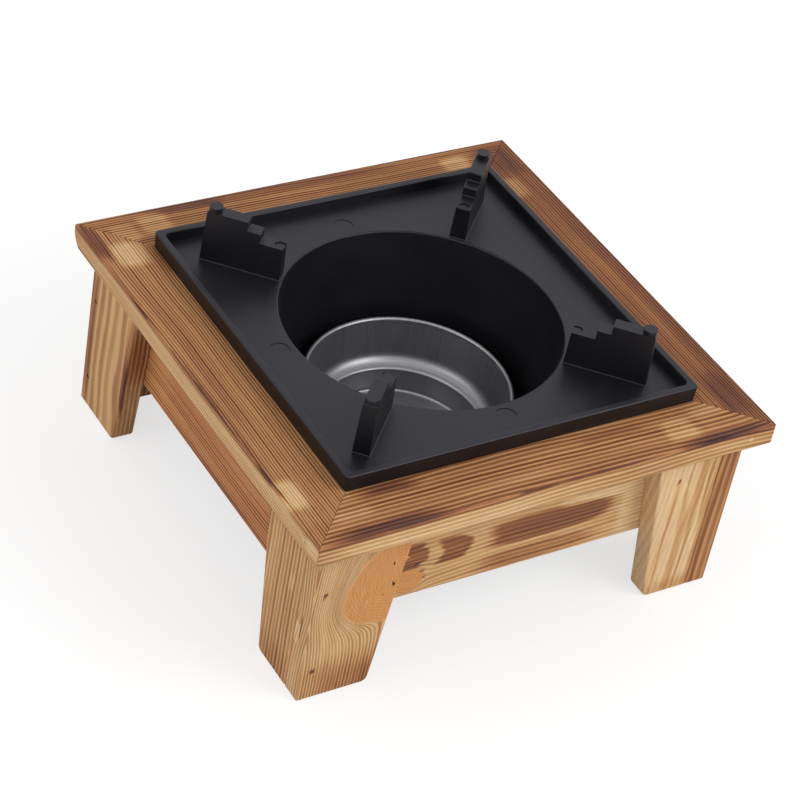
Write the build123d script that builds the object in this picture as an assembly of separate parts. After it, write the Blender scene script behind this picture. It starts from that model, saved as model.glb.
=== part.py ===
from build123d import *
import math
import os

# Square table-top alcohol stove: a stand of scorched softwood boards, a black die-cast pan with a deep
# round well and four stepped pot fins, and a stamped stainless fuel bowl loose in the well.
# The origin is on the table below the centre of the stand, +X runs right along the front, +Y away, +Z up.

# Stand as a whole
stand_side = 240.0
stand_height = 101.0
board_easing = 0.9
mitre_easing = 0.3

# Top boards, mitred at the corners
top_board_width = 40.0
top_board_thickness = 11.5
top_overhang = 8.0

# Where handling has rounded the frame below its back left corner
worn_radius = 12.0
worn_drop = 2.0

# Leg boards, two to a leg
leg_board_thickness = 11.0
leg_width_at_top = 47.0
leg_width_at_foot = 36.0
foot_corner_radius = 3.5

# Apron boards behind the leg boards
apron_thickness = 11.0
apron_height = 54.0

# Brads
brad_shank_diameter = 1.6
brad_head_diameter = 2.4
brad_head_thickness = 0.8
brad_head_depth = 0.3
brad_length = 25.0
short_brad_length = 17.0
brads_per_edge = 2
corner_brad_drop = 27.0
corner_brad_spacing = 46.0
apron_brad_drop = 15.0
apron_brad_spacing = 22.0
apron_brad_reach = 36.0
apron_corner_brad_drop = 12.0
top_brad_offset = 62.0
top_brad_slant = 15.0
top_brad_bite = 4.0
mitre_brad_distance = 13.0
mitre_brad_depth = 1.2

# Pan: plate and rim
frame_shown = 27.0
pan_corner_radius = 2.2
plate_thickness = 3.2
rim_height = 8.5
rim_width = 3.6
rim_draft = 3.0
rim_inner_corner_radius = 2.6
rim_edge_radius = 0.7
ejector_mark_diameter = 10.0
ejector_mark_depth = 0.25
ejector_mark_distance = 75.0
ejector_mark_quarters = (1, 2, 3)

# Pan: well
well_radius = 67.0
well_floor_radius = 52.0
well_depth = 76.0
well_wall = 3.0
well_edge_radius = 0.8
well_floor_fillet = 6.0

# Pan: fins on the diagonals, measured along the diagonal and up from the plate
fin_mouth_land = 0.1
fin_outer_distance = 107.4
fin_thickness = 8.0
fin_draft = 1.6
fin_low_height = 17.2
fin_middle_height = 22.0
fin_high_height = 26.6
fin_pad_height = 28.8
fin_low_end = 80.2
fin_middle_end = 86.8
fin_pad_diameter = 6.4
fin_step_radius = 0.6
fin_root_fillet = 0.6
fin_recess_diameter = 5.6
fin_recess_depth = 0.5
fin_recess_distance = 71.0

# Pan: ribs below the plate that keep it central in the frame
locating_rib_thickness = 3.0
locating_rib_depth = 6.0
locating_clearance = 0.5

# Fuel bowl: a lower cup that a fuel tin stands in, a shoulder, and a wider upper wall
bowl_sheet = 0.8
bowl_height = 37.4
bowl_mouth_radius = 49.0
bowl_waist_radius = 44.8
bowl_cup_radius = 38.8
bowl_shoulder_height = 13.3
bowl_shoulder_rise = 1.8
bowl_shoulder_fillet = 6.2
bowl_shoulder_edge_radius = 0.8
bowl_floor_fillet = 1.6
bowl_rim_bead = 1.3

# How closely an edge must match to be picked for rounding
radius_match = 0.05
direction_match = 0.01

# Places that follow from the sizes above
top_half = stand_side / 2
frame_opening_half = top_half - top_board_width
leg_outer_half = top_half - top_overhang
pan_side = stand_side - 2 * frame_shown
leg_inner_half = leg_outer_half - leg_board_thickness
apron_inner_half = leg_inner_half - apron_thickness
frame_bottom_z = stand_height - top_board_thickness
apron_bottom_z = frame_bottom_z - apron_height
plate_top_z = stand_height + plate_thickness
well_floor_z = plate_top_z - well_depth
fin_inner_distance = well_radius + well_edge_radius + fin_root_fillet + fin_mouth_land

corner_names = ("front_left", "front_right", "back_right", "back_left")
side_names = ("front", "right", "back", "left")


def turned(shape, quarter):
    """The shape turned about the stove's axis by a number of quarter turns."""
    return Rot(0, 0, 90 * quarter) * shape


def eased(board, size):
    """The board with all of its sharp edges rounded over."""
    return fillet(board.edges(), size)


def brad(head_point, direction, length, depth):
    """One brad whose head is punched to a depth below the face at head_point."""
    seat = Plane(origin=head_point, z_dir=direction)
    head = Pos(0, 0, depth + brad_head_thickness / 2) * Cylinder(brad_head_diameter / 2, brad_head_thickness)
    shank_length = length - brad_head_thickness
    shank_middle = depth + brad_head_thickness + shank_length / 2
    shank = Pos(0, 0, shank_middle) * Cylinder(brad_shank_diameter / 2, shank_length)
    return seat * (head + shank)


def brad_bore(head_point, direction, length, depth):
    """The hole that the brad leaves: the brad itself and the punched way down to its head."""
    seat = Plane(origin=head_point, z_dir=direction)
    punched = Pos(0, 0, depth / 2) * Cylinder(brad_head_diameter / 2, depth)
    return brad(head_point, direction, length, depth) + seat * punched


def corner_brad_places():
    """Brads through a leg's overlapping board into the edge of the other board, front left leg."""
    x = -leg_outer_half + leg_board_thickness / 2
    for step in range(brads_per_edge):
        z = frame_bottom_z - corner_brad_drop - step * corner_brad_spacing
        yield (x, -leg_outer_half, z), (0, 1, 0), brad_length, brad_head_depth


def leg_to_apron_brad_places():
    """Brads from inside the stand through the aprons into both boards of the front left leg."""
    reach = leg_outer_half - apron_brad_reach
    for step in range(brads_per_edge):
        z = frame_bottom_z - apron_brad_drop - step * apron_brad_spacing
        yield (-reach, -apron_inner_half, z), (0, -1, 0), short_brad_length, brad_head_depth
        yield (-apron_inner_half, -reach, z), (-1, 0, 0), short_brad_length, brad_head_depth


def apron_corner_brad_places():
    """Brads through the front apron into the end of the left apron."""
    x = -leg_inner_half + apron_thickness / 2
    spacing = (apron_height - 2 * apron_corner_brad_drop) / (brads_per_edge - 1)
    for step in range(brads_per_edge):
        z = frame_bottom_z - apron_corner_brad_drop - step * spacing
        yield (x, -leg_inner_half, z), (0, 1, 0), brad_length, brad_head_depth


def top_brad_places():
    """Brads under the pan, slanted outwards through the front top board into the front apron."""
    lean = math.sin(math.radians(top_brad_slant))
    fall = -math.cos(math.radians(top_brad_slant))
    run = top_board_thickness * math.tan(math.radians(top_brad_slant))
    head_y = run - apron_inner_half - top_brad_bite
    for x in (-top_brad_offset, top_brad_offset):
        yield (x, head_y, stand_height), (0, -lean, fall), brad_length, brad_head_depth


def mitre_brad_places():
    """A brad through the edge of the left top board, across the front left mitre."""
    z = stand_height - top_board_thickness / 2
    yield (-top_half, -top_half + mitre_brad_distance, z), (1, 0, 0), brad_length, mitre_brad_depth


brad_groups = {
    "leg_corner_brads": corner_brad_places,
    "leg_to_apron_brads": leg_to_apron_brad_places,
    "apron_corner_brads": apron_corner_brad_places,
    "top_frame_brads": top_brad_places,
    "mitre_brads": mitre_brad_places,
}


def brad_group(places):
    """All the brads of one kind, at the four corners or sides."""
    first = [brad(*place) for place in places()]
    return Compound([turned(piece, quarter).solid() for quarter in range(4) for piece in first])


def all_bores():
    """Every brad's hole, as tools to cut the boards with."""
    first = [brad_bore(*place) for places in brad_groups.values() for place in places()]
    return [turned(piece, quarter) for quarter in range(4) for piece in first]


def top_board():
    """The front board of the top frame: mitred ends and eased long edges."""
    outline = Polyline(
        (-top_half, -top_half),
        (top_half, -top_half),
        (frame_opening_half, -frame_opening_half),
        (-frame_opening_half, -frame_opening_half),
        close=True,
    )
    board = Pos(0, 0, frame_bottom_z) * extrude(make_face(outline), top_board_thickness)
    board = fillet(board.edges().filter_by(Axis.X), board_easing)
    ends = [edge for edge in board.edges() if is_mitre_edge(edge)]
    return chamfer(ends, mitre_easing)


def worn_corner():
    """What is rounded off below the frame's back left corner, under the first millimetres of its edge."""
    block = Box(worn_radius, top_board_width, worn_radius, align=(Align.MAX, Align.CENTER, Align.MAX))
    kept = Pos(-worn_radius, 0, 0) * Rot(90, 0, 0) * Cylinder(worn_radius, 2 * top_board_width)
    corner_distance = math.hypot(top_half, top_half)
    return Rot(0, 0, 135) * Pos(corner_distance, 0, stand_height - worn_drop) * (block - kept)


def is_mitre_edge(edge):
    """True for a straight level edge that runs along a mitre."""
    run = edge.tangent_at(0.5)
    return edge.geom_type == GeomType.LINE and abs(abs(run.X) - abs(run.Y)) < direction_match


def leg_profile(near_edge):
    """Outline of a leg board seen from the front, from near_edge to the slanted inner edge."""
    foot_x = -leg_outer_half + leg_width_at_foot
    top_x = -leg_outer_half + leg_width_at_top
    outline = Polyline(
        (near_edge, 0),
        (foot_x, 0),
        (top_x, frame_bottom_z),
        (near_edge, frame_bottom_z),
        close=True,
    )
    face = make_face(outline)
    foot_corner = face.vertices().sort_by(Axis.Y)[:2].sort_by(Axis.X)[-1]
    return fillet(foot_corner, foot_corner_radius)


def leg_board(near_edge):
    """A leg board that stands with its face at the front of the front left leg."""
    board = extrude(Plane.XZ * leg_profile(near_edge), leg_board_thickness)
    board = Pos(0, -leg_inner_half, 0) * board
    return eased(board, board_easing)


def overlapping_leg_board():
    """The front left leg's front board, which runs to the corner."""
    return leg_board(-leg_outer_half)


def butted_leg_board():
    """The front left leg's left board, whose edge meets the back of the front board."""
    return mirror(turned(leg_board(-leg_inner_half), 1), Plane.YZ)


def apron():
    """The front apron: its left end covers the left apron's end, its right end meets the right apron."""
    board = Box(leg_inner_half + apron_inner_half, apron_thickness, apron_height)
    middle_x = (apron_inner_half - leg_inner_half) / 2
    middle_y = -(leg_inner_half + apron_inner_half) / 2
    board = Pos(middle_x, middle_y, apron_bottom_z + apron_height / 2) * board
    return eased(board, board_easing)


def pan_plate():
    """The square plate with its raised, drafted rim."""
    sharp = Rectangle(pan_side, pan_side)
    outer = fillet(sharp.vertices(), pan_corner_radius)
    block = Pos(0, 0, stand_height + rim_height) * extrude(outer, -rim_height, taper=rim_draft)
    tray_side = pan_side - 2 * rim_width
    tray = fillet(Rectangle(tray_side, tray_side).vertices(), rim_inner_corner_radius)
    tray_depth = rim_height - plate_thickness
    hollow = Pos(0, 0, stand_height + rim_height) * extrude(tray, -tray_depth, taper=rim_draft)
    plate = block - hollow
    return fillet(plate.faces().sort_by(Axis.Z)[-1].edges(), rim_edge_radius)


def well_outline(radius_offset, depth_offset, top_z):
    """Half of the well's section, from the axis out, for its inside or its outside."""
    slope = (well_radius - well_floor_radius) / well_depth
    floor_z = well_floor_z - depth_offset
    floor_x = well_floor_radius + radius_offset - slope * depth_offset
    top_x = well_radius + radius_offset + slope * (top_z - plate_top_z)
    outline = Polyline((0, floor_z), (floor_x, floor_z), (top_x, top_z), (0, top_z), close=True)
    face = make_face(outline)
    corner = face.vertices().sort_by(Axis.Y)[:2].sort_by(Axis.X)[-1]
    return fillet(corner, well_floor_fillet + depth_offset)


def well_outside():
    """The well as a solid plug, with its wall and floor thickness."""
    section = Plane.XZ * well_outline(well_wall, well_wall, stand_height)
    return revolve(section, Axis.Z)


def well_inside():
    """The hollow of the well, up to the top of the plate."""
    return revolve(Plane.XZ * well_outline(0, 0, plate_top_z), Axis.Z)


def is_well_mouth(edge):
    """True for the circle where the well opens in the plate."""
    return edge.geom_type == GeomType.CIRCLE and abs(edge.radius - well_radius) < radius_match


def fin_outline():
    """A fin's stepped outline: distance along the diagonal, and height from the plate's middle."""
    root = -plate_thickness / 2
    lean = math.tan(math.radians(fin_draft))
    points = (
        (fin_inner_distance, root),
        (fin_outer_distance, root),
        (fin_outer_distance, 0),
        (fin_outer_distance - lean * fin_high_height, fin_high_height),
        (fin_middle_end, fin_high_height),
        (fin_middle_end, fin_middle_height),
        (fin_low_end, fin_middle_height),
        (fin_low_end, fin_low_height),
        (fin_inner_distance + lean * fin_low_height, fin_low_height),
        (fin_inner_distance, 0),
    )
    face = make_face(Polyline(*points, close=True))
    steps = [corner for corner in face.vertices() if corner.Y > fin_step_radius]
    return fillet(steps, fin_step_radius)


def draft_wedge():
    """What the draft takes off one long side of a fin, on the side towards +Y."""
    lean = math.tan(math.radians(fin_draft))
    reach = 2 * fin_pad_height
    outline = Polyline(
        (fin_thickness / 2, 0),
        (fin_thickness / 2 - lean * reach, reach),
        (fin_thickness, reach),
        (fin_thickness, 0),
        close=True,
    )
    return extrude(Plane.YZ * make_face(outline), 2 * fin_outer_distance)


def fin():
    """A pot fin along +X, standing on z = 0, with its round pad and its ejector recess."""
    blade = extrude(Plane.XZ * fin_outline(), fin_thickness / 2, both=True)
    wedge = draft_wedge()
    blade = blade - wedge - mirror(wedge, Plane.XZ)
    end_lean = math.tan(math.radians(fin_draft)) * fin_pad_height
    pad_x = fin_outer_distance - end_lean - fin_pad_diameter / 2
    pad = Cylinder(fin_pad_diameter / 2, fin_pad_height, align=(Align.CENTER, Align.CENTER, Align.MIN))
    blade = blade + Pos(pad_x, 0, 0) * pad
    recess = Cylinder(fin_recess_diameter / 2, 2 * fin_recess_depth)
    return blade - Pos(fin_recess_distance, 0, fin_low_height) * recess


def is_fin_root(edge):
    """True for a straight edge on the plate along a fin's side or end."""
    run = edge.tangent_at(0.5)
    on_plate = abs(edge.center().Z - plate_top_z) < fin_mouth_land
    return on_plate and edge.geom_type == GeomType.LINE and abs(abs(run.X) - abs(run.Y)) < direction_match


def ejector_marks():
    """Shallow round marks that the ejector pins leave half way along three sides of the plate."""
    mark = Cylinder(ejector_mark_diameter / 2, 2 * ejector_mark_depth)
    mark = Pos(ejector_mark_distance, 0, plate_top_z) * mark
    return [turned(mark, quarter) for quarter in ejector_mark_quarters]


def locating_rib():
    """A rib below the plate from the well out to the inner edge of the frame, along +X."""
    length = frame_opening_half - locating_clearance
    rib = Box(length, locating_rib_thickness, locating_rib_depth, align=(Align.MIN, Align.CENTER, Align.MAX))
    return Pos(0, 0, stand_height) * rib


def pan():
    """The whole casting."""
    body = pan_plate() + well_outside()
    body = body + [turned(locating_rib(), quarter) for quarter in range(4)]
    body = body - well_inside()
    body = fillet([edge for edge in body.edges() if is_well_mouth(edge)], well_edge_radius)
    blade = Pos(0, 0, plate_top_z) * fin()
    body = body + [Rot(0, 0, 45) * turned(blade, quarter) for quarter in range(4)]
    body = body - ejector_marks()
    return fillet([edge for edge in body.edges() if is_fin_root(edge)], fin_root_fillet)


def fuel_bowl():
    """The stamped bowl: a flat floor, a cup, a shoulder, a flared wall and a rolled rim."""
    half = bowl_sheet / 2
    middle_line = FilletPolyline(
        (0, half),
        (bowl_cup_radius + half, half),
        (bowl_cup_radius + half, bowl_shoulder_height),
        (bowl_waist_radius + half, bowl_shoulder_height + bowl_shoulder_rise),
        (bowl_mouth_radius + half, bowl_height - bowl_rim_bead),
        radius=(bowl_floor_fillet + half, bowl_shoulder_edge_radius + half, bowl_shoulder_fillet + half),
    )
    section = Plane.XZ * trace(middle_line, bowl_sheet)
    bead = Pos(bowl_mouth_radius + half, bowl_height - bowl_rim_bead) * Circle(bowl_rim_bead)
    bowl = revolve(section, Axis.Z) + revolve(Plane.XZ * bead, Axis.Z)
    return Pos(0, 0, well_floor_z) * bowl


def write(name, shape):
    """One file for one named piece."""
    export_step(shape, f"parts/{name}.step")


def write_stand():
    """The boards of the stand and the brads that hold them."""
    bores = all_bores()
    top = top_board() - bores
    worn = worn_corner()
    rail = apron() - bores
    overlapping = overlapping_leg_board() - bores
    butted = butted_leg_board() - bores
    for quarter in range(4):
        side = side_names[quarter]
        side_before = side_names[quarter - 1]
        corner = corner_names[quarter]
        write(f"{side}_top_board", turned(top, quarter) - worn)
        write(f"{side}_apron", turned(rail, quarter))
        write(f"{corner}_leg_{side}_board", turned(overlapping, quarter))
        write(f"{corner}_leg_{side_before}_board", turned(butted, quarter))
    for name, places in brad_groups.items():
        write(name, brad_group(places))


os.makedirs("parts", exist_ok=True)
write_stand()
write("pan", pan())
write("fuel_bowl", fuel_bowl())
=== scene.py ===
import math
import bmesh
import bpy
from mathutils import Matrix, Vector


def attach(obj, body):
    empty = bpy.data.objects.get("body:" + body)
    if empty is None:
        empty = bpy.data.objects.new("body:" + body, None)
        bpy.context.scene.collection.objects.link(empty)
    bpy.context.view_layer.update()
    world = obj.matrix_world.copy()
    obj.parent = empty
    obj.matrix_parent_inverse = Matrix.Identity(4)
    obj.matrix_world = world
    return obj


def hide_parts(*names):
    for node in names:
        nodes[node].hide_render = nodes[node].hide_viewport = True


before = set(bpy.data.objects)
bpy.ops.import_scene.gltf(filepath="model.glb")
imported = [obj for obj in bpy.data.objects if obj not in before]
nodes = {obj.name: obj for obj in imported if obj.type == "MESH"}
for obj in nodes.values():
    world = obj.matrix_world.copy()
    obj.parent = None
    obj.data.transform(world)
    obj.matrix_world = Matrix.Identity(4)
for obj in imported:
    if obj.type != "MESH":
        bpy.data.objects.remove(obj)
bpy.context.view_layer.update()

# The stove's own axes: X right along the front, Y away, Z up, metres, origin on the table.
MM = 0.001
scene = bpy.context.scene


def linear(hex_colour):
    """An sRGB hex value as the linear RGBA that shaders take."""
    values = [int(hex_colour[start:start + 2], 16) / 255 for start in (0, 2, 4)]
    return tuple(v / 12.92 if v <= 0.04045 else ((v + 0.055) / 1.055) ** 2.4 for v in values) + (1.0,)


def add(tree, kind, links=None, stops=None, **settings):
    """Adds one node. links gives an input's value or its source; stops gives a colour ramp's places and hex."""
    node = tree.nodes.new(kind)
    for name, value in settings.items():
        setattr(node, name, value)
    if stops:
        while len(node.color_ramp.elements) < len(stops):
            node.color_ramp.elements.new(0.5)
        for element, (place, hex_colour) in zip(node.color_ramp.elements, stops):
            element.position = place
            element.color = linear(hex_colour)
    for name, value in (links or {}).items():
        if isinstance(value, bpy.types.NodeSocket):
            tree.links.new(value, node.inputs[name])
        else:
            node.inputs[name].default_value = value
    return node


def new_group(name, inputs, outputs):
    """An empty shader group with named sockets, and its input and output nodes."""
    tree = bpy.data.node_groups.new(name, "ShaderNodeTree")
    for socket_name, kind in inputs:
        tree.interface.new_socket(name=socket_name, in_out="INPUT", socket_type="NodeSocket" + kind)
    for socket_name, kind in outputs:
        tree.interface.new_socket(name=socket_name, in_out="OUTPUT", socket_type="NodeSocket" + kind)
    return tree, tree.nodes.new("NodeGroupInput").outputs, tree.nodes.new("NodeGroupOutput").inputs


def new_material(name):
    """A material with an empty node tree."""
    material = bpy.data.materials.new(name)
    material.use_nodes = True
    material.node_tree.nodes.clear()
    return material, material.node_tree


# Scorched softwood: fir boards charred with a torch and brushed, so the soft early wood lies lower and
# paler and each hard late-wood line stands proud and dark. Each board is cut out of its own log.
HALF = (0.5, 0.5, 0.5)
# scorch runs further along the grain than across it, so its edges are streaks about 20 mm long
RAGGED_PER_MM, RAGGED_REACH = (0.045, 0.35, 0.35), (14.0, 3.0, 3.0)
# share of a knot's half width by which it pushes the grain beside it, and how fast that falls off outwards
GRAIN_PUSH, GRAIN_FALL = -0.82, -4.0
# stretched noises of the wood, per millimetre along, across and outward: the log's own waver, uneven ring
# widths, fibres 0.4 mm wide and 7 mm long, and torch streaks 6 mm wide
WAVER_PER_MM, RINGS_PER_MM = (0.009, 0.02, 0.02), (0.02, 0.16, 0.16)
FIBRE_PER_MM, STREAK_PER_MM = (0.14, 2.4, 2.4), (0.014, 0.16, 0.16)
# how much streaks and fibres add to the scorch, and what they add on average
STREAK_SHARE, FIBRE_SHARE, SHARE_MEAN = 0.4, 0.24, 0.32


def board_place_group():
    """Object coordinates in millimetres along, across and into a board."""
    tree, given, result = new_group(
        "board_place",
        [("Corner", "Vector"), ("Along", "Vector"), ("Across", "Vector"), ("Outward", "Vector")],
        [("Place", "Vector"), ("Ragged", "Vector")],
    )
    point = add(tree, "ShaderNodeTexCoord").outputs["Object"]
    scaled = add(tree, "ShaderNodeVectorMath", {0: point, "Scale": 1 / MM}, operation="SCALE").outputs[0]
    local = add(tree, "ShaderNodeVectorMath", {0: scaled, 1: given["Corner"]}, operation="SUBTRACT").outputs[0]
    parts = [
        add(tree, "ShaderNodeVectorMath", {0: local, 1: given[axis]}, operation="DOT_PRODUCT").outputs["Value"]
        for axis in ("Along", "Across", "Outward")
    ]
    place = add(tree, "ShaderNodeCombineXYZ", dict(enumerate(parts))).outputs[0]
    stretched = add(tree, "ShaderNodeVectorMath", {0: place, 1: RAGGED_PER_MM}, operation="MULTIPLY").outputs[0]
    noise = add(tree, "ShaderNodeTexNoise", {"Vector": stretched, "Scale": 1.0, "Detail": 3.0}).outputs["Color"]
    centred = add(tree, "ShaderNodeVectorMath", {0: noise, 1: HALF}, operation="SUBTRACT").outputs[0]
    shift = add(tree, "ShaderNodeVectorMath", {0: centred, 1: RAGGED_REACH}, operation="MULTIPLY").outputs[0]
    ragged = add(tree, "ShaderNodeVectorMath", {0: place, 1: shift}, operation="ADD").outputs[0]
    tree.links.new(place, result["Place"])
    tree.links.new(ragged, result["Ragged"])
    return tree


def spot_group():
    """Adds an amount to the scorch inside a rounded box whose rim fades."""
    tree, given, result = new_group(
        "scorch_spot",
        [("Place", "Vector"), ("Level", "Float"), ("Centre", "Vector"), ("Size", "Vector"), ("Core", "Float"),
         ("Amount", "Float"), ("Curl", "Float")],
        [("Level", "Float")],
    )
    offset = add(tree, "ShaderNodeVectorMath", {0: given["Place"], 1: given["Centre"]}, operation="SUBTRACT").outputs[0]
    part = add(tree, "ShaderNodeSeparateXYZ", {0: offset}).outputs
    # the curl bows the box's ends along the board
    bow = add(tree, "ShaderNodeMath", {0: part["Y"], 1: part["Y"]}, operation="MULTIPLY").outputs[0]
    bowed = add(tree, "ShaderNodeMath", {0: bow, 1: given["Curl"], 2: part["X"]}, operation="MULTIPLY_ADD").outputs[0]
    offset = add(tree, "ShaderNodeCombineXYZ", {"X": bowed, "Y": part["Y"], "Z": part["Z"]}).outputs[0]
    share = add(tree, "ShaderNodeVectorMath", {0: offset, 1: given["Size"]}, operation="DIVIDE").outputs[0]
    square = add(tree, "ShaderNodeVectorMath", {0: share, 1: share}, operation="MULTIPLY").outputs[0]
    length = add(tree, "ShaderNodeVectorMath", {0: square}, operation="LENGTH").outputs["Value"]
    distance = add(tree, "ShaderNodeMath", {0: length}, operation="SQRT").outputs[0]
    fade = add(
        tree, "ShaderNodeMapRange",
        {"Value": distance, "From Min": given["Core"], "From Max": 1.0, "To Min": given["Amount"], "To Max": 0.0},
        interpolation_type="SMOOTHSTEP",
    ).outputs["Result"]
    level = add(tree, "ShaderNodeMath", {0: given["Level"], 1: fade}, operation="ADD").outputs[0]
    tree.links.new(level, result["Level"])
    return tree


def knot_group():
    """A branch's cut end, drawn out along the board: its mask, its own rings, and the grain flowing round it."""
    tree, given, result = new_group(
        "knot",
        [("Place", "Vector"), ("Centre", "Vector"), ("Size", "Vector"), ("Drawn Out", "Float"),
         ("Ring Centre", "Vector"), ("Ring Pitch", "Float")],
        [("Mask", "Float"), ("Line", "Float"), ("Bend", "Float")],
    )
    wobble = add(tree, "ShaderNodeTexNoise", {"Vector": given["Place"], "Scale": 0.09, "Detail": 2.0}).outputs["Fac"]
    offset = add(tree, "ShaderNodeVectorMath", {0: given["Place"], 1: given["Centre"]}, operation="SUBTRACT").outputs[0]
    share = add(tree, "ShaderNodeVectorMath", {0: offset, 1: given["Size"]}, operation="DIVIDE").outputs[0]
    part = add(tree, "ShaderNodeSeparateXYZ", {0: share}).outputs
    below = add(tree, "ShaderNodeMath", {0: part["X"], 1: 0.0}, operation="MAXIMUM").outputs[0]
    above = add(tree, "ShaderNodeMath", {0: part["X"], 1: 0.0}, operation="MINIMUM").outputs[0]
    shrunk = {0: above, 1: given["Drawn Out"], 2: below}
    along = add(tree, "ShaderNodeMath", shrunk, operation="MULTIPLY_ADD").outputs[0]
    drawn = add(tree, "ShaderNodeCombineXYZ", {"X": along, "Y": part["Y"], "Z": part["Z"]}).outputs[0]
    distance = add(tree, "ShaderNodeVectorMath", {0: drawn}, operation="LENGTH").outputs["Value"]
    uneven = add(tree, "ShaderNodeMath", {0: wobble, 1: 0.12, 2: distance}, operation="MULTIPLY_ADD").outputs[0]
    mask = add(
        tree, "ShaderNodeMapRange",
        {"Value": uneven, "From Min": 0.99, "From Max": 1.12, "To Min": 1.0, "To Max": 0.0},
        interpolation_type="SMOOTHSTEP",
    ).outputs["Result"]
    between = {0: given["Place"], 1: given["Ring Centre"]}
    from_ring = add(tree, "ShaderNodeVectorMath", between, operation="SUBTRACT").outputs[0]
    ring_radius = add(tree, "ShaderNodeVectorMath", {0: from_ring}, operation="LENGTH").outputs["Value"]
    turns = add(tree, "ShaderNodeMath", {0: ring_radius, 1: given["Ring Pitch"]}, operation="DIVIDE").outputs[0]
    turns = add(tree, "ShaderNodeMath", {0: wobble, 1: 3.0, 2: turns}, operation="MULTIPLY_ADD").outputs[0]
    ring = add(tree, "ShaderNodeMath", {0: turns}, operation="FRACT").outputs[0]
    line = add(
        tree, "ShaderNodeMapRange", {"Value": ring, "From Min": 0.4, "From Max": 0.95},
        interpolation_type="SMOOTHSTEP",
    ).outputs["Result"]
    # the grain parts round the knot as water round a post, squeezed at its sides
    reach = add(tree, "ShaderNodeMath", {0: distance, 1: 1.0}, operation="MAXIMUM").outputs[0]
    reach = add(tree, "ShaderNodeMath", {0: reach, 1: GRAIN_FALL}, operation="POWER").outputs[0]
    aside = add(tree, "ShaderNodeSeparateXYZ", {0: offset}).outputs["Y"]
    bend = add(tree, "ShaderNodeMath", {0: reach, 1: aside}, operation="MULTIPLY").outputs[0]
    bend = add(tree, "ShaderNodeMath", {0: bend, 1: GRAIN_PUSH}, operation="MULTIPLY").outputs[0]
    for name, value in (("Mask", mask), ("Line", line), ("Bend", bend)):
        tree.links.new(value, result[name])
    return tree


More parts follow.
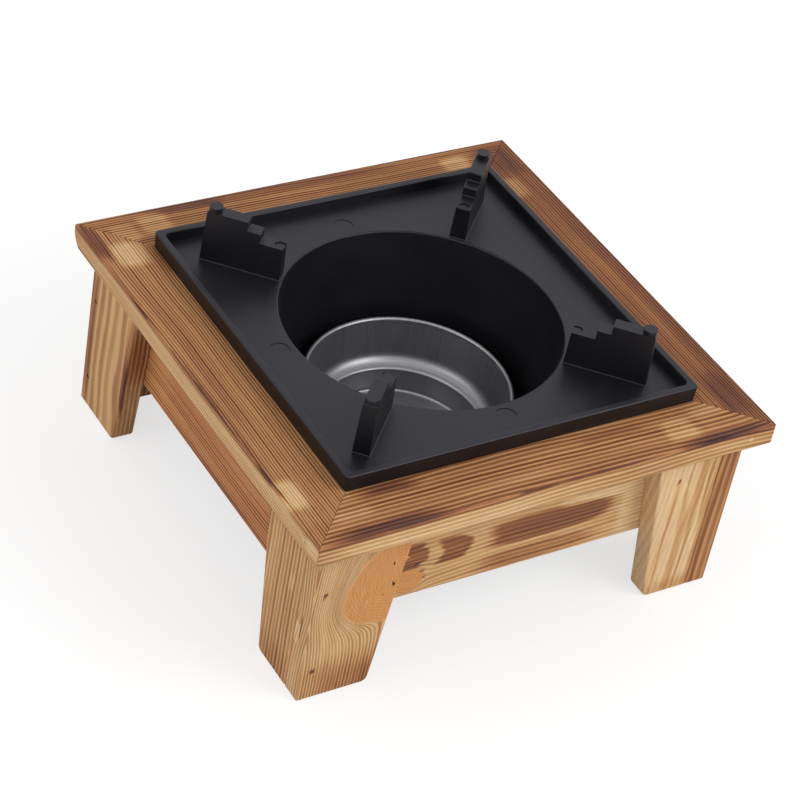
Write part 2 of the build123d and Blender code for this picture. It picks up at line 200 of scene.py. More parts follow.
def softwood_group():
    """Colour, roughness and relief of scorched fir from a place in the board and a scorch level."""
    tree, given, result = new_group(
        "softwood",
        [("Place", "Vector"), ("Level", "Float"), ("Pith", "Vector"), ("Lean", "Float"), ("Pitch", "Float"),
         ("Wave", "Float"), ("Contrast", "Float"), ("Seed", "Float"), ("Bend", "Float"), ("Knot", "Float"),
         ("Knot Line", "Float"), ("Tint", "Vector")],
        [("Color", "Color"), ("Roughness", "Float"), ("Height", "Float")],
    )
    place = given["Place"]

    def grain_noise(stretch, detail, rough=0.5):
        scaled = add(tree, "ShaderNodeVectorMath", {0: place, 1: stretch}, operation="MULTIPLY").outputs[0]
        return add(
            tree, "ShaderNodeTexNoise",
            {"Vector": scaled, "W": given["Seed"], "Scale": 1.0, "Detail": detail, "Roughness": rough},
            noise_dimensions="4D",
        ).outputs

    # rings: distance from the pith line, wavering over about 100 mm of length
    waver = grain_noise(WAVER_PER_MM, 1.5)["Color"]
    centred = add(tree, "ShaderNodeVectorMath", {0: waver, 1: HALF}, operation="SUBTRACT").outputs[0]
    bent = add(tree, "ShaderNodeVectorMath", {0: centred, "Scale": given["Wave"]}, operation="SCALE").outputs[0]
    from_pith = add(tree, "ShaderNodeVectorMath", {0: place, 1: given["Pith"]}, operation="SUBTRACT").outputs[0]
    bent_place = add(tree, "ShaderNodeVectorMath", {0: from_pith, 1: bent}, operation="ADD").outputs[0]
    part = add(tree, "ShaderNodeSeparateXYZ", {0: bent_place}).outputs
    leaning = {0: part["X"], 1: given["Lean"], 2: part["Y"]}
    across = add(tree, "ShaderNodeMath", leaning, operation="MULTIPLY_ADD").outputs[0]
    across = add(tree, "ShaderNodeMath", {0: across, 1: given["Bend"]}, operation="ADD").outputs[0]
    flat = add(tree, "ShaderNodeCombineXYZ", {"Y": across, "Z": part["Z"]}).outputs[0]
    radius = add(tree, "ShaderNodeVectorMath", {0: flat}, operation="LENGTH").outputs["Value"]
    count = add(tree, "ShaderNodeMath", {0: radius, 1: given["Pitch"]}, operation="DIVIDE").outputs[0]
    jitter = grain_noise(RINGS_PER_MM, 2.0)["Fac"]
    count = add(tree, "ShaderNodeMath", {0: jitter, 1: 0.6, 2: count}, operation="MULTIPLY_ADD").outputs[0]
    turn = add(tree, "ShaderNodeMath", {0: count}, operation="FRACT").outputs[0]
    number = add(tree, "ShaderNodeMath", {0: count}, operation="FLOOR").outputs[0]
    own = add(tree, "ShaderNodeTexWhiteNoise", {"W": number}, noise_dimensions="1D").outputs["Value"]
    strength = add(tree, "ShaderNodeMapRange", {"Value": own, "To Min": 0.5, "To Max": 1.0}).outputs["Result"]
    # late wood darkens slowly through the season and stops sharply
    rise = add(
        tree, "ShaderNodeMapRange", {"Value": turn, "From Min": 0.18, "From Max": 0.58},
        interpolation_type="SMOOTHSTEP",
    ).outputs["Result"]
    drop = add(
        tree, "ShaderNodeMapRange",
        {"Value": turn, "From Min": 0.84, "From Max": 0.98, "To Min": 1.0, "To Max": 0.0},
        interpolation_type="SMOOTHSTEP",
    ).outputs["Result"]
    line = add(tree, "ShaderNodeMath", {0: rise, 1: drop}, operation="MULTIPLY").outputs[0]
    line = add(tree, "ShaderNodeMath", {0: line, 1: strength}, operation="MULTIPLY").outputs[0]
    # the board's own lines end at a knot
    straight = add(tree, "ShaderNodeMath", {0: 1.0, 1: given["Knot"]}, operation="SUBTRACT").outputs[0]
    line = add(tree, "ShaderNodeMath", {0: line, 1: straight}, operation="MULTIPLY").outputs[0]

    fibre = grain_noise(FIBRE_PER_MM, 2.0, 0.65)["Fac"]
    streak = grain_noise(STREAK_PER_MM, 2.0)["Fac"]
    streaked = {0: streak, 1: STREAK_SHARE, 2: given["Level"]}
    level = add(tree, "ShaderNodeMath", streaked, operation="MULTIPLY_ADD").outputs[0]
    level = add(tree, "ShaderNodeMath", {0: fibre, 1: FIBRE_SHARE, 2: level}, operation="MULTIPLY_ADD").outputs[0]
    level = add(tree, "ShaderNodeMath", {0: level, 1: SHARE_MEAN}, operation="SUBTRACT").outputs[0]
    early = add(
        tree, "ShaderNodeValToRGB", {"Fac": level},
        stops=((0.0, "E4C498"), (0.2, "D6AF7C"), (0.42, "C59160"), (0.62, "A97149"), (0.8, "8A573F"), (1.0, "5C3E38")),
    ).outputs["Color"]
    late = add(
        tree, "ShaderNodeValToRGB", {"Fac": level},
        stops=((0.0, "C4935C"), (0.2, "9C6235"), (0.42, "6C3718"), (0.62, "4C2415"), (0.8, "381C16"), (1.0, "241416")),
    ).outputs["Color"]
    amount = add(tree, "ShaderNodeMath", {0: line, 1: given["Contrast"]}, operation="MULTIPLY").outputs[0]
    colour = add(tree, "ShaderNodeMix", {0: amount, 6: early, 7: late}, data_type="RGBA").outputs[2]
    knot_colour = add(
        tree, "ShaderNodeMix", {0: given["Knot Line"], 6: linear("CC935C"), 7: linear("C2854F")}, data_type="RGBA",
    ).outputs[2]
    knot_burn = add(
        tree, "ShaderNodeMapRange", {"Value": level, "From Min": 0.45, "From Max": 1.0, "To Min": 0.0, "To Max": 1.0},
    ).outputs["Result"]
    knot_colour = add(
        tree, "ShaderNodeMix", {0: knot_burn, 6: knot_colour, 7: linear("33201A")}, data_type="RGBA",
    ).outputs[2]
    colour = add(tree, "ShaderNodeMix", {0: given["Knot"], 6: colour, 7: knot_colour}, data_type="RGBA").outputs[2]
    tone = add(
        tree, "ShaderNodeMapRange",
        {"Value": fibre, "From Min": 0.3, "From Max": 0.7, "To Min": 0.82, "To Max": 1.16},
    ).outputs["Result"]
    colour = add(tree, "ShaderNodeVectorMath", {0: colour, "Scale": tone}, operation="SCALE").outputs[0]
    colour = add(tree, "ShaderNodeVectorMath", {0: colour, 1: given["Tint"]}, operation="MULTIPLY").outputs[0]

    rough = add(tree, "ShaderNodeMapRange", {"Value": line, "To Min": 0.72, "To Max": 0.5}).outputs["Result"]
    height = add(tree, "ShaderNodeMath", {0: fibre, 1: 0.35, 2: line}, operation="MULTIPLY_ADD").outputs[0]
    tree.links.new(colour, result["Color"])
    tree.links.new(rough, result["Roughness"])
    tree.links.new(height, result["Height"])
    return tree


board_place = board_place_group()
scorch_spot = spot_group()
knot = knot_group()
softwood = softwood_group()


def softwood_material(name, corner, along, across, outward, pith, lean, pitch, wave, contrast, level, seed,
                      tint="FFFFFF", spots=(), branch=None):
    """Scorched fir for one board.

    Sizes are millimetres. The pith is where the log's centre lies, across and outward. Each spot is a centre, a
    size, the share of it that is full, an amount of scorch (below 0 it is paler) and a curl. A branch is a
    knot's centre, its size, how much of it is drawn out upwards, its rings' centre and their pitch.
    """
    material, tree = new_material("scorched_fir_" + name)
    board = {"Corner": corner, "Along": along, "Across": across, "Outward": outward}
    where = add(tree, "ShaderNodeGroup", board, node_tree=board_place).outputs
    scorch = level
    for centre, size, core, amount, *curl in spots:
        spot = {
            "Place": where["Place" if amount < 0 else "Ragged"], "Level": scorch, "Centre": centre, "Size": size,
            "Core": core, "Amount": amount, "Curl": curl[0] if curl else 0.0,
        }
        scorch = add(tree, "ShaderNodeGroup", spot, node_tree=scorch_spot).outputs["Level"]
    grain = {
        "Place": where["Place"], "Level": scorch, "Pith": (0, *pith), "Lean": lean, "Pitch": pitch, "Wave": wave,
        "Contrast": contrast, "Seed": seed, "Tint": linear(tint)[:3],
    }
    if branch:
        centre, size, drawn_out, ring_centre, ring_pitch = branch
        branch_end = {
            "Place": where["Place"], "Centre": centre, "Size": size, "Drawn Out": drawn_out,
            "Ring Centre": ring_centre, "Ring Pitch": ring_pitch,
        }
        end = add(tree, "ShaderNodeGroup", branch_end, node_tree=knot).outputs
        grain.update({"Knot": end["Mask"], "Knot Line": end["Line"], "Bend": end["Bend"]})
    wood = add(tree, "ShaderNodeGroup", grain, node_tree=softwood).outputs
    # brushed relief: late-wood lines stand about 0.35 mm above the early wood
    relief = add(tree, "ShaderNodeBump", {"Height": wood["Height"], "Distance": 0.4 * MM, "Strength": 0.9})
    surface = add(
        tree, "ShaderNodeBsdfPrincipled",
        {"Base Color": wood["Color"], "Roughness": wood["Roughness"],
         "Normal": relief.outputs["Normal"], "IOR": 1.5, "Specular IOR Level": 0.16},
    )
    add(tree, "ShaderNodeOutputMaterial", {"Surface": surface.outputs[0]})
    return material


def dress(node_name, material):
    """Gives a CAD node its material."""
    slots = nodes[node_name].data.materials
    slots.clear()
    slots.append(material)


# The four top boards, in millimetres. Along runs anticlockwise round the stove, across runs from the outer
# edge (-20) in to the pan (+20), and outward is up from the top face (0).
UP = (0, 0, 1)
stand_top = 101
top_frames = {
    "front": ((0, -100, stand_top), (1, 0, 0), (0, 1, 0)),
    "right": ((100, 0, stand_top), (0, 1, 0), (-1, 0, 0)),
    "back": ((0, 100, stand_top), (-1, 0, 0), (0, -1, 0)),
    "left": ((-100, 0, stand_top), (0, -1, 0), (1, 0, 0)),
}
# paler outer edge, charred outer arris: the same on every board
edge_spots = (
    ((0, -20.5, -6.5), (150, 2.6, 5.6), 0.6, -0.34),
    ((0, -20.2, 0.3), (140, 1.5, 1.5), 0.3, 0.34),
    ((0, 13, 0), (140, 4, 3), 0.2, 0.12),
)
top_boards = {
    "front": dict(
        pith=(240, -250), lean=0.012, pitch=1.72, wave=7, contrast=1.0, level=0.46, seed=3.1,
        spots=(
            ((-74, 4, 0), (20, 5.5, 4), 0.2, 0.36),
            ((-86, -17, 0), (38, 5, 4), 0.2, 0.48),
            ((96, -18, 0), (36, 5, 4), 0.2, 0.44),
            ((42, 0, 0), (24, 4, 4), 0.3, 0.14),
            ((-20, -12, 0), (42, 3.5, 4), 0.3, -0.1),
            ((-96, -6, 0), (14, 4.5, 4), 0.4, -0.16),
            ((74, -8, 0), (11, 9, 4), 0.5, -0.24),
            ((94, -2, 0), (13, 8, 4), 0.5, -0.12),
            ((-60, -20, -7), (64, 3, 5), 0.4, -0.1),
            ((60, -20, -6), (60, 2.5, 5), 0.3, 0.1),
        ),
    ),
    "right": dict(
        pith=(260, -230), lean=-0.006, pitch=1.16, wave=5, contrast=1.0, level=0.64, seed=7.4,
        spots=(
            ((80, -2, 0), (10, 8, 4), 0.5, -0.24),
            ((104, -8, 0), (18, 12, 4), 0.4, 0.2),
            ((-94, -10, 0), (22, 9, 4), 0.4, 0.2),
            ((0, -16, 0), (90, 5, 4), 0.3, 0.1),
        ),
    ),
    "back": dict(
        pith=(250, -240), lean=0.008, pitch=1.2, wave=5, contrast=1.0, level=0.54, seed=11.9,
        spots=(
            ((84, -9, 0), (10, 9, 4), 0.5, -0.26),
            ((101, -5, 0), (9, 9, 4), 0.5, -0.2),
            ((-84, -8, 0), (10, 7, 4), 0.5, -0.32),
            ((64, -17, 0), (26, 4.5, 4), 0.4, 0.3),
            ((-108, -8, 0), (16, 12, 4), 0.4, 0.28),
            ((0, -17, 0), (70, 5, 4), 0.4, 0.16),
        ),
    ),
    "left": dict(
        pith=(250, -236), lean=-0.010, pitch=1.06, wave=6, contrast=1.0, level=0.42, seed=5.6,
        spots=(
            ((86, -16, 0), (12, 8, 4), 0.5, -0.36),
            ((-90, -6, 0), (12, 10, 4), 0.5, -0.34),
            ((-104, -17, 0), (20, 4.5, 4), 0.4, 0.40),
            ((112, -14, 0), (10, 8, 4), 0.4, 0.08),
            ((0, 14, 0), (100, 9, 4), 0.4, 0.20),
            ((-84, 8, 0), (20, 5, 4), 0.4, 0.14),
            ((30, -18.5, 0), (60, 2.5, 4), 0.4, 0.12),
            ((0, -12, 0), (60, 5, 4), 0.3, 0.07),
            ((115, -20, -5), (6.5, 2.5, 4.6), 0.3, -0.36),
            ((76, -20, 0.2), (15, 1.6, 1.6), 0.4, 0.45),
        ),
    ),
}
for side, (corner, along, across) in top_frames.items():
    board = dict(top_boards[side])
    board["spots"] = edge_spots + board["spots"]
    dress(side + "_top_board", softwood_material("top_" + side, corner, along, across, UP, **board))

# Leg boards: along is down from the top of the leg, across runs from the leg's outer corner.
DOWN = (0, 0, -1)
leg_top = 89.5
leg_corner = 112
leg_faces = {
    "front_left_leg_front": ((-leg_corner, -leg_corner, leg_top), (1, 0, 0), (0, -1, 0)),
    "front_left_leg_left": ((-leg_corner, -leg_corner, leg_top), (0, 1, 0), (-1, 0, 0)),
    "front_right_leg_right": ((leg_corner, -leg_corner, leg_top), (0, 1, 0), (1, 0, 0)),
    "front_right_leg_front": ((leg_corner, -leg_corner, leg_top), (-1, 0, 0), (0, -1, 0)),
    "back_right_leg_back": ((leg_corner, leg_corner, leg_top), (-1, 0, 0), (0, 1, 0)),
    "back_right_leg_right": ((leg_corner, leg_corner, leg_top), (0, -1, 0), (1, 0, 0)),
    "back_left_leg_left": ((-leg_corner, leg_corner, leg_top), (0, -1, 0), (-1, 0, 0)),
    "back_left_leg_back": ((-leg_corner, leg_corner, leg_top), (1, 0, 0), (0, 1, 0)),
}
leg_boards = {
    "front_left_leg_front": dict(
        pith=(260, -210), lean=0.02, pitch=1.25, wave=4, contrast=0.85, level=0.14, seed=21.3,
        spots=(
            ((86, 24, 0), (24, 34, 4), 0.2, 0.32),
            ((86, 36, 0), (16, 8, 4), 0.3, 0.14),
            ((19.4, 37.9, 0), (1.3, 0.9, 3), 0.3, 1.0),
            ((29.6, 40, 0), (1.9, 1.4, 3), 0.3, 1.0),
            ((36.6, 35.7, 0), (0.8, 0.6, 3), 0.3, 0.7),
            ((27, 5.4, 0), (2.2, 1.9, 3), 0.3, 0.35),
            ((73, 5.4, 0), (2.2, 1.9, 3), 0.3, 0.35),
            ((44, 0, -5.5), (60, 2, 8), 0.3, 0.02),
            ((49, -0.5, -6), (8, 1.2, 0.8), 0.3, 0.8),
            ((54, -0.5, -9), (7, 3, 3), 0.5, -0.34),
        ),
        branch=((38, 38, 0), (15, 22.5, 40), 0.48, (28, 39.5, 0), 1.6),
    ),
    "front_left_leg_left": dict(
        pith=(230, -150), lean=0.02, pitch=2.2, wave=4, contrast=0.95, level=0.27, seed=24.8,
        spots=(
            # painted shade: a darker band across the top of the face, just under the frame's overhang
            ((4, 28, 0), (12, 26, 4), 0.2, 0.16),
            ((88, 24, 0), (20, 26, 4), 0.2, 0.14),
            ((34, 19, 0), (7, 3, 3), 0.3, -0.14),
        ),
    ),
    "front_right_leg_right": dict(
        pith=(200, -150), lean=-0.02, pitch=2.5, wave=4, contrast=1.0, level=0.5, seed=27.5,
        spots=(((50, 8, 0), (40, 6, 12), 0.3, 0.14), ((46, 6, -6), (60, 3, 1.0), 0.2, -0.3)),
    ),
    "front_right_leg_front": dict(
        pith=(200, -120), lean=-0.07, pitch=2.6, wave=8, contrast=0.3, level=0.04, seed=29.2,
        spots=(
            ((20, 20, 0), (40, 3.5, 4), 0.3, 0.34),
            ((62, 24, 0), (38, 3, 4), 0.3, 0.32),
            ((50, 33, 0), (50, 1.2, 4), 0.3, 0.3),
            ((30, 15, 0), (34, 1.3, 4), 0.3, 0.36),
            ((66, 19.5, 0), (30, 1.5, 4), 0.3, 0.36),
            ((24, 27, 0), (28, 1.2, 4), 0.3, 0.30),
            ((50, 12.6, 0), (60, 1.8, 4), 0.3, 0.34),
            ((19, 33.6, 0), (2.2, 1.4, 4), 0.4, 0.62),
            ((45, 11.4, 0), (60, 0.8, 3), 0.3, 0.5),
            ((88, 20, 0), (9, 26, 4), 0.2, 0.24),
        ),
    ),
    "back_left_leg_left": dict(
        pith=(90, -200), lean=-0.01, pitch=2.3, wave=5, contrast=0.8, level=0.26, seed=33.7,
        spots=(
            ((45, 2, 0), (60, 5, 6), 0.4, 0.36),
            ((60, 40, 0), (50, 2.6, 3), 0.3, 0.62),
            ((52, 45, -5), (50, 6, 7), 0.5, 0.3),
        ),
    ),
}
generic_leg = dict(pith=(220, -160), lean=0.015, pitch=2.2, wave=5, contrast=0.9)
for number, (name, (corner, across, outward)) in enumerate(leg_faces.items()):
    board = leg_boards.get(name)
    if board is None:
        # the other faces darken towards the foot, and have a painted shade across the top just under the frame's
        # overhang
        board = dict(generic_leg, level=0.3 + 0.05 * (number % 3), seed=40.0 + number,
                     spots=(((80, 24, 0), (24, 26, 6), 0.3, 0.2), ((6, 22, 0), (14, 26, 6), 0.2, 0.16)))
    dress(name + "_board", softwood_material("leg_" + name, corner, DOWN, across, outward, **board))

# Aprons: along runs anticlockwise round the stove, across runs up, outward is out of the stove.
apron_middle = 62.5
apron_face = 101
apron_frames = {
    "front": ((0, -apron_face, apron_middle), (1, 0, 0), (0, -1, 0)),
    "right": ((apron_face, 0, apron_middle), (0, 1, 0), (1, 0, 0)),
    "back": ((0, apron_face, apron_middle), (-1, 0, 0), (0, 1, 0)),
    "left": ((-apron_face, 0, apron_middle), (0, -1, 0), (-1, 0, 0)),
}
aprons = {
    "front": dict(
        pith=(220, -140), lean=-0.03, pitch=2.1, wave=12, contrast=0.8, level=0.2, seed=51.2,
        spots=(
            ((-53, -4, 0), (7, 9, 6), 0.7, 0.5, 0.07),
            ((-32, -5, 0), (9.5, 9, 6), 0.7, 0.5, 0.09),
            ((19, -5, 0), (37, 8.5, 6), 0.75, 0.5, 0.10),
            ((14, -21, 0), (40, 6, 6), 0.5, 0.34),
            ((44, 3, 0), (26, 3.2, 6), 0.6, -0.44),
            ((68, -10, 0), (14, 24, 6), 0.5, -0.26),
            ((-49, -14, 0), (2.2, 1.4, 3), 0.3, 0.5),
            ((-46, -18, 0), (1.6, 1.2, 3), 0.3, 0.5),
            ((-51, -9, 0), (1.6, 1.0, 3), 0.3, 0.45),
        ),
        branch=((-56, -18, 0), (8, 7, 20), 1.0, (-56, -18, 0), 1.5),
    ),
    "right": dict(pith=(220, -150), lean=0.02, pitch=2.0, wave=10, contrast=0.9, level=0.44, seed=54.1),
    "back": dict(pith=(230, -160), lean=-0.01, pitch=1.9, wave=10, contrast=0.9, level=0.44, seed=57.6),
    "left": dict(
        pith=(240, -170), lean=0.012, pitch=1.6, wave=6, contrast=1.0, level=0.32, seed=59.9,
        tint="FFE8DC",
        spots=(((0, -27, 0), (70, 5, 6), 0.3, 0.3), ((-60, -8, 0), (20, 16, 6), 0.3, -0.1)),
    ),
}
for side, (corner, along, outward) in apron_frames.items():
    dress(side + "_apron", softwood_material("apron_" + side, corner, along, UP, outward, **aprons[side]))


def coated_casting():
    """Die-cast aluminium under a heat-proof black coat: satin, faintly mottled, with a fine cast skin."""
    material, tree = new_material("black_coated_die_cast_aluminium")
    point = add(tree, "ShaderNodeTexCoord").outputs["Object"]
    # coat thickness drifts over about 35 mm; the skin's grain is 0.7 mm, coarser than the real one, on swells
    # of 2.4 mm
    drift = add(tree, "ShaderNodeTexNoise", {"Vector": point, "Scale": 28.0, "Detail": 3.0}).outputs["Fac"]
    skin = add(tree, "ShaderNodeTexNoise", {"Vector": point, "Scale": 1400.0, "Detail": 2.0}).outputs["Fac"]
    pores = add(tree, "ShaderNodeTexNoise", {"Vector": point, "Scale": 420.0, "Detail": 1.0}).outputs["Fac"]
    colour = add(
        tree, "ShaderNodeValToRGB", {"Fac": drift}, stops=((0.3, "0D0D0F"), (0.7, "141417")),
    ).outputs["Color"]
    rough = add(
        tree, "ShaderNodeMapRange", {"Value": drift, "From Min": 0.3, "From Max": 0.7, "To Min": 0.36, "To Max": 0.44},
    ).outputs["Result"]
    height = add(tree, "ShaderNodeMath", {0: pores, 1: 0.5, 2: skin}, operation="MULTIPLY_ADD").outputs[0]
    relief = add(tree, "ShaderNodeBump", {"Height": height, "Distance": 0.05 * MM, "Strength": 0.5})
    surface = add(
        tree, "ShaderNodeBsdfPrincipled",
        {"Base Color": colour, "Roughness": rough, "Normal": relief.outputs["Normal"], "IOR": 1.5,
         "Specular IOR Level": 0.44, "Specular Tint": linear("EAE8FA")},
    )
    add(tree, "ShaderNodeOutputMaterial", {"Surface": surface.outputs[0]})
    return material


def drawn_stainless():
    """Stainless sheet drawn into a bowl: upright draw marks on the wall, ring marks on the floor."""
    material, tree = new_material("drawn_stainless_steel")
    point = add(tree, "ShaderNodeTexCoord").outputs["Object"]
    part = add(tree, "ShaderNodeSeparateXYZ", {0: point}).outputs
    angle = add(tree, "ShaderNodeMath", {0: part["Y"], 1: part["X"]}, operation="ARCTAN2").outputs[0]
    flat = add(tree, "ShaderNodeCombineXYZ", {"X": part["X"], "Y": part["Y"]}).outputs[0]
    radius = add(tree, "ShaderNodeVectorMath", {0: flat}, operation="LENGTH").outputs["Value"]
    # draw marks 0.5 mm wide up the wall, ring marks 0.45 mm wide on the cup's floor and shoulder
    unit = add(tree, "ShaderNodeVectorMath", {0: flat}, operation="NORMALIZE").outputs[0]
    around = add(tree, "ShaderNodeVectorMath", {0: unit, "Scale": 90.0}, operation="SCALE").outputs[0]
    tall = add(tree, "ShaderNodeMath", {0: part["Z"], 1: 40.0}, operation="MULTIPLY").outputs[0]
    rise = add(tree, "ShaderNodeCombineXYZ", {"Z": tall}).outputs[0]
    wall_place = add(tree, "ShaderNodeVectorMath", {0: around, 1: rise}, operation="ADD").outputs[0]
    wall = add(
        tree, "ShaderNodeTexNoise", {"Vector": wall_place, "Scale": 1.0, "Detail": 3.0, "Roughness": 0.7},
    ).outputs["Fac"]
    out = add(tree, "ShaderNodeMath", {0: radius, 1: 2200.0}, operation="MULTIPLY").outputs[0]
    ring_place = add(tree, "ShaderNodeCombineXYZ", {"X": out, "Y": angle}).outputs[0]
    ring = add(tree, "ShaderNodeTexNoise", {"Vector": ring_place, "Scale": 1.0, "Detail": 2.0}).outputs["Fac"]
    on_wall = add(
        tree, "ShaderNodeMapRange", {"Value": part["Z"], "From Min": 44 * MM, "From Max": 48 * MM},
        interpolation_type="SMOOTHSTEP",
    ).outputs["Result"]
    mark = add(tree, "ShaderNodeMix", {0: on_wall, 2: ring, 3: wall}, data_type="FLOAT").outputs[0]
    cloud = add(tree, "ShaderNodeTexNoise", {"Vector": point, "Scale": 90.0, "Detail": 3.0}).outputs["Fac"]
    colour = add(
        tree, "ShaderNodeValToRGB", {"Fac": mark}, stops=((0.3, "88888B"), (0.7, "A0A0A3")),
    ).outputs["Color"]
    mixed = add(tree, "ShaderNodeMath", {0: cloud, 1: 0.3, 2: mark}, operation="MULTIPLY_ADD").outputs[0]
    rough = add(
        tree, "ShaderNodeMapRange", {"Value": mixed, "From Min": 0.4, "From Max": 0.9, "To Min": 0.36, "To Max": 0.46},
    ).outputs["Result"]
    relief = add(tree, "ShaderNodeBump", {"Height": mark, "Distance": 0.03 * MM, "Strength": 0.25})
    surface = add(
        tree, "ShaderNodeBsdfPrincipled",
        {"Base Color": colour, "Metallic": 1.0, "Roughness": rough, "Normal": relief.outputs["Normal"]},
    )
    add(tree, "ShaderNodeOutputMaterial", {"Surface": surface.outputs[0]})
    return material


def sooted_steel():
    """Brad wire: mild steel, blued and sooted by the torch."""
    material, tree = new_material("sooted_mild_steel")
    point = add(tree, "ShaderNodeTexCoord").outputs["Object"]
    # soot comes in blotches about 1 mm wide
    soot = add(tree, "ShaderNodeTexNoise", {"Vector": point, "Scale": 900.0, "Detail": 3.0}).outputs["Fac"]
    colour = add(
        tree, "ShaderNodeValToRGB", {"Fac": soot}, stops=((0.35, "54402F"), (0.65, "86694C")),
    ).outputs["Color"]
    rough = add(tree, "ShaderNodeMapRange", {"Value": soot, "To Min": 0.4, "To Max": 0.7}).outputs["Result"]
    relief = add(tree, "ShaderNodeBump", {"Height": soot, "Distance": 0.05 * MM, "Strength": 0.4})
    surface = add(
        tree, "ShaderNodeBsdfPrincipled",
        {"Base Color": colour, "Metallic": 0.6, "Roughness": rough, "Normal": relief.outputs["Normal"]},
    )
    add(tree, "ShaderNodeOutputMaterial", {"Surface": surface.outputs[0]})
    return material


dress("pan", coated_casting())
dress("fuel_bowl", drawn_stainless())
brad_steel = sooted_steel()


def brad_seats(node_name):
    """The middle of each brad's head and the way from there to its tip, read from the CAD node."""
    work = bmesh.new()
    work.from_mesh(nodes[node_name].data)
    bmesh.ops.remove_doubles(work, verts=work.verts, dist=0.01 * MM)
    left = set(work.verts)
    seats = []
    while left:
        island, edge = set(), [left.pop()]
        while edge:
            vertex = edge.pop()
            island.add(vertex)
            for link in vertex.link_edges:
                other = link.other_vert(vertex)
                if other in left:
                    left.remove(other)
                    edge.append(other)
        points = [vertex.co.copy() for vertex in island]
        middle = sum(points, Vector()) / len(points)
        tip = max(points, key=lambda point: (point - middle).length)
        head = max(points, key=lambda point: (point - tip).length)
        axis = (tip - head).normalized()
        ends = []
        for end in (tip, head):
            ring = [point for point in points if abs((point - end).dot(axis)) < 0.3 * MM]
            centre = sum(ring, Vector()) / len(ring)
            ends.append((max((point - centre).length for point in ring), centre))
        # the head is the wider end
        (_, tip), (_, head) = sorted(ends, key=lambda end: end[0])
        seats.append((head, tip - head))
    work.free()
    return sorted(seats, key=lambda seat: tuple(round(value, 5) for value in seat[0]))


def brad_tree():
    """Geometry nodes that put one brad on each point, pointing along its direction."""
    tree = bpy.data.node_groups.new("punched_brads", "GeometryNodeTree")
    face = tree.interface
    face.new_socket(name="Geometry", in_out="INPUT", socket_type="NodeSocketGeometry")
    for name in ("Head Diameter", "Head Thickness", "Head Chamfer", "Shank Diameter", "Length", "Tip Length"):
        face.new_socket(name=name, in_out="INPUT", socket_type="NodeSocketFloat")
    face.new_socket(name="Material", in_out="INPUT", socket_type="NodeSocketMaterial")
    face.new_socket(name="Geometry", in_out="OUTPUT", socket_type="NodeSocketGeometry")
    given = tree.nodes.new("NodeGroupInput").outputs
    result = tree.nodes.new("NodeGroupOutput").inputs

    def rod(top, bottom, length, start):
        """A round piece whose first end lies at start along Z."""
        cone = add(
            tree, "GeometryNodeMeshCone",
            {"Vertices": 20, "Radius Top": bottom, "Radius Bottom": top, "Depth": length},
        ).outputs["Mesh"]
        move = add(tree, "ShaderNodeCombineXYZ", {"Z": start}).outputs[0]
        return add(tree, "GeometryNodeTransform", {"Geometry": cone, "Translation": move}).outputs[0]

    head_radius = add(tree, "ShaderNodeMath", {0: given["Head Diameter"], 1: 0.5}, operation="MULTIPLY").outputs[0]
    terms = {0: head_radius, 1: given["Head Chamfer"]}
    face_radius = add(tree, "ShaderNodeMath", terms, operation="SUBTRACT").outputs[0]
    shank_radius = add(tree, "ShaderNodeMath", {0: given["Shank Diameter"], 1: 0.5}, operation="MULTIPLY").outputs[0]
    tip_radius = add(tree, "ShaderNodeMath", {0: shank_radius, 1: 0.35}, operation="MULTIPLY").outputs[0]
    terms = {0: given["Head Thickness"], 1: given["Head Chamfer"]}
    body_length = add(tree, "ShaderNodeMath", terms, operation="SUBTRACT").outputs[0]
    terms = {0: given["Length"], 1: given["Tip Length"]}
    tip_start = add(tree, "ShaderNodeMath", terms, operation="SUBTRACT").outputs[0]
    terms = {0: tip_start, 1: given["Head Thickness"]}
    shank_length = add(tree, "ShaderNodeMath", terms, operation="SUBTRACT").outputs[0]
    parts = (
        rod(face_radius, head_radius, given["Head Chamfer"], 0.0),
        rod(head_radius, head_radius, body_length, given["Head Chamfer"]),
        rod(shank_radius, shank_radius, shank_length, given["Head Thickness"]),
        rod(shank_radius, tip_radius, given["Tip Length"], tip_start),
    )
    joined = add(tree, "GeometryNodeJoinGeometry")
    for part in parts:
        tree.links.new(part, joined.inputs[0])
    direction = add(
        tree, "GeometryNodeInputNamedAttribute", {"Name": "direction"}, data_type="FLOAT_VECTOR",
    ).outputs["Attribute"]
    turned = add(tree, "FunctionNodeAlignRotationToVector", {"Vector": direction}, axis="Z").outputs[0]
    placed = add(
        tree, "GeometryNodeInstanceOnPoints",
        {"Points": given["Geometry"], "Instance": joined.outputs[0], "Rotation": turned},
    ).outputs[0]
    real = add(tree, "GeometryNodeRealizeInstances", {"Geometry": placed}).outputs[0]
    clad = add(tree, "GeometryNodeSetMaterial", {"Geometry": real, "Material": given["Material"]}).outputs[0]
    tree.links.new(clad, result["Geometry"])
    return tree


brads = brad_tree()
BRAD_SIZES = {
    "Head Diameter": 2.4 * MM, "Head Thickness": 0.8 * MM, "Head Chamfer": 0.2 * MM,
    "Shank Diameter": 1.6 * MM, "Tip Length": 2.0 * MM,
}


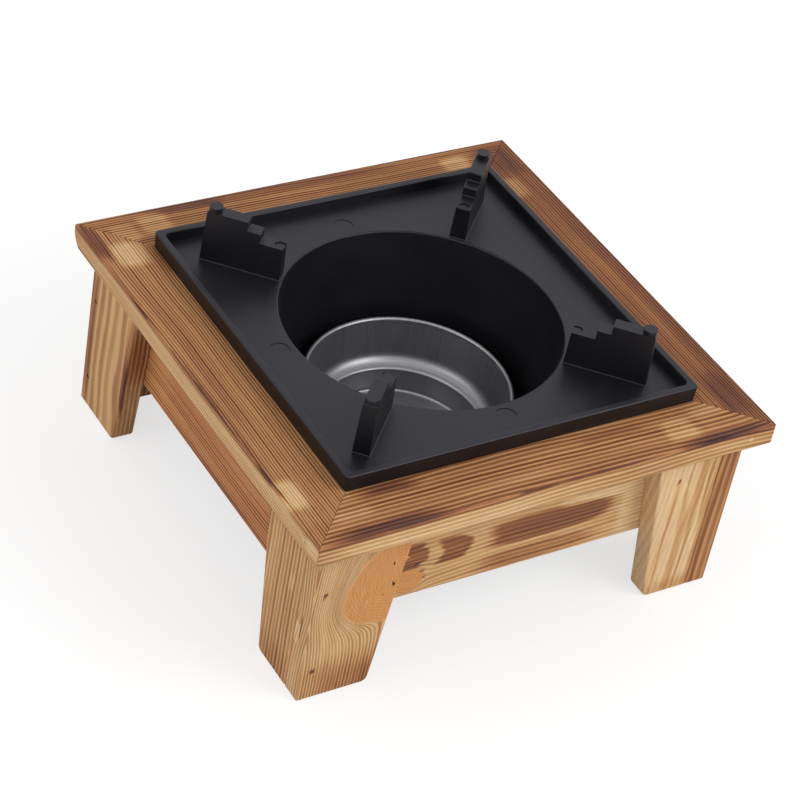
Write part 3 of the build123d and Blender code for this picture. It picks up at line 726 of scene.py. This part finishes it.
def brad_set(node_name):
    """One mesh of all of a group's brads, which stands for the CAD node."""
    seats = brad_seats(node_name)
    mesh = bpy.data.meshes.new(node_name + "_points")
    mesh.from_pydata([tuple(place) for place, _ in seats], [], [])
    lean = mesh.attributes.new("direction", "FLOAT_VECTOR", "POINT")
    for item, (_, way) in zip(lean.data, seats):
        item.vector = way
    sizes = dict(BRAD_SIZES, Length=seats[0][1].length)
    points = bpy.data.objects.new(node_name + "_points", mesh)
    scene.collection.objects.link(points)
    modifier = points.modifiers.new("brads", "NODES")
    modifier.node_group = brads
    for item in brads.interface.items_tree:
        if item.in_out == "INPUT" and item.name in sizes:
            modifier[item.identifier] = sizes[item.name]
        elif item.in_out == "INPUT" and item.name == "Material":
            modifier[item.identifier] = brad_steel
    bpy.context.view_layer.update()
    evaluated = points.evaluated_get(bpy.context.evaluated_depsgraph_get())
    made = bpy.data.meshes.new_from_object(evaluated)
    points.modifiers.remove(modifier)
    bpy.data.objects.remove(points)
    piece = bpy.data.objects.new("punched_" + node_name, made)
    scene.collection.objects.link(piece)
    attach(piece, "stand")
    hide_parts(node_name)


for group in ("leg_corner_brads", "leg_to_apron_brads", "apron_corner_brads", "top_frame_brads", "mitre_brads"):
    brad_set(group)


def wood_filler():
    """Pale stopping, smoothed with a finger over the punched brads at the mitres: matt, with small pits."""
    material, tree = new_material("pale_wood_filler")
    point = add(tree, "ShaderNodeTexCoord").outputs["Object"]
    # pits about 0.7 mm wide
    pits = add(tree, "ShaderNodeTexNoise", {"Vector": point, "Scale": 1500.0, "Detail": 2.0}).outputs["Fac"]
    colour = add(tree, "ShaderNodeValToRGB", {"Fac": pits}, stops=((0.3, "C29A6C"), (0.6, "DDBF95"))).outputs["Color"]
    relief = add(tree, "ShaderNodeBump", {"Height": pits, "Distance": 0.15 * MM, "Strength": 0.6})
    surface = add(
        tree, "ShaderNodeBsdfPrincipled",
        {"Base Color": colour, "Roughness": 0.85, "Normal": relief.outputs["Normal"], "IOR": 1.5},
    )
    add(tree, "ShaderNodeOutputMaterial", {"Surface": surface.outputs[0]})
    return material


def filler_plugs():
    """A plug of filler in each punched hole of the mitre brads, from the head out to the board's face."""
    work = bmesh.new()
    plug_radius, plug_depth, short = 1.18 * MM, 1.2 * MM, 0.04 * MM
    for head, way in brad_seats("mitre_brads"):
        inwards = way.normalized()
        middle = head - inwards * (plug_depth - short) / 2
        turn = inwards.to_track_quat("Z", "Y").to_matrix().to_4x4()
        bmesh.ops.create_cone(
            work, cap_ends=True, segments=24, radius1=plug_radius, radius2=plug_radius, depth=plug_depth - short,
            matrix=Matrix.Translation(middle) @ turn,
        )
    mesh = bpy.data.meshes.new("mitre_filler")
    work.to_mesh(mesh)
    work.free()
    mesh.materials.append(wood_filler())
    piece = bpy.data.objects.new("mitre_filler", mesh)
    scene.collection.objects.link(piece)
    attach(piece, "stand")


filler_plugs()


def seen_directly(tree):
    """1 for what the camera sees, also in mirrors and through glass, and 0 for what only lights the stove."""
    path = add(tree, "ShaderNodeLightPath").outputs
    seen = path["Is Camera Ray"]
    for kind in ("Is Glossy Ray", "Is Transmission Ray"):
        seen = add(tree, "ShaderNodeMath", {0: seen, 1: path[kind]}, operation="MAXIMUM").outputs[0]
    return seen


def pale_floor():
    """Plain pale floor: white to the camera and in reflections, and it keeps the stove's soft shadow."""
    material, tree = new_material("pale_floor")
    seen = seen_directly(tree)
    plain = add(tree, "ShaderNodeBsdfDiffuse", {"Color": linear("E6E5E3")}).outputs[0]
    shaded = add(tree, "ShaderNodeBsdfDiffuse", {"Color": linear("A0A0A0")}).outputs[0]
    glow = add(tree, "ShaderNodeEmission", {"Color": linear("FFFFFF"), "Strength": 0.68}).outputs[0]
    lit = add(tree, "ShaderNodeAddShader", {0: shaded, 1: glow}).outputs[0]
    mixed = add(tree, "ShaderNodeMixShader", {0: seen, 1: plain, 2: lit}).outputs[0]
    add(tree, "ShaderNodeOutputMaterial", {"Surface": mixed})
    return material


FLOOR_HALF = 3.0
floor_mesh = bpy.data.meshes.new("floor")
floor_corners = [(x * FLOOR_HALF, y * FLOOR_HALF, 0) for x, y in ((-1, -1), (1, -1), (1, 1), (-1, 1))]
floor_mesh.from_pydata(floor_corners, [], [(0, 1, 2, 3)])
floor_mesh.materials.append(pale_floor())
floor = bpy.data.objects.new("floor", floor_mesh)
scene.collection.objects.link(floor)

# Even white surroundings, white itself where they are seen or mirrored
world = bpy.data.worlds.new("studio")
scene.world = world
world.use_nodes = True
tree = world.node_tree
tree.nodes.clear()
seen = seen_directly(tree)
ambient = add(tree, "ShaderNodeBackground", {"Color": linear("FFFFFF"), "Strength": 0.72}).outputs[0]
white = add(tree, "ShaderNodeBackground", {"Color": linear("FFFFFF"), "Strength": 1.0}).outputs[0]
mixed = add(tree, "ShaderNodeMixShader", {0: seen, 1: ambient, 2: white}).outputs[0]
add(tree, "ShaderNodeOutputWorld", {"Surface": mixed})


def soft_lamp(name, place, size, power):
    """A square lamp that faces the stove."""
    light = bpy.data.lights.new(name, "AREA")
    light.shape = "SQUARE"
    light.size = size
    light.energy = power
    lamp = bpy.data.objects.new(name, light)
    aim = Vector((0, 0, 0.07)) - Vector(place)
    lamp.matrix_world = Matrix.Translation(place) @ aim.to_track_quat("-Z", "Y").to_matrix().to_4x4()
    scene.collection.objects.link(lamp)


soft_lamp("front_right_lamp", (0.75, -1.05, 1.15), 0.9, 11.0)
soft_lamp("left_lamp", (-1.3, 0.1, 1.1), 0.9, 4.0)

# The photograph's camera, solved from the stove's corners
AZIMUTH, ELEVATION, ROLL = (math.radians(value) for value in (-37.274, 38.253, 11.344))
DISTANCE, SLIDE_RIGHT, SLIDE_UP, FOCAL_PIXELS = 1.242629, -0.002403, -0.037185, 2686.094
TARGET = Vector((0, 0, 0.101))
PHOTO_PIXELS, SENSOR = 800, 36.0
back = Vector((
    math.sin(AZIMUTH) * math.cos(ELEVATION), -math.cos(AZIMUTH) * math.cos(ELEVATION), math.sin(ELEVATION),
))
right = Vector((math.cos(AZIMUTH), math.sin(AZIMUTH), 0))
up = back.cross(right)
place = TARGET + back * DISTANCE + right * SLIDE_RIGHT + up * SLIDE_UP
rolled_right = right * math.cos(ROLL) + up * math.sin(ROLL)
rolled_up = up * math.cos(ROLL) - right * math.sin(ROLL)
turn = Matrix((rolled_right, rolled_up, back)).transposed().to_4x4()
camera_data = bpy.data.cameras.new("photo_camera")
camera_data.sensor_fit = "HORIZONTAL"
camera_data.sensor_width = SENSOR
camera_data.lens = FOCAL_PIXELS / PHOTO_PIXELS * SENSOR
camera_data.clip_start = 0.05
camera_data.clip_end = 20.0
camera = bpy.data.objects.new("photo_camera", camera_data)
camera.matrix_world = Matrix.Translation(place) @ turn
scene.collection.objects.link(camera)
scene.camera = camera
scene.view_settings.view_transform = "Standard"
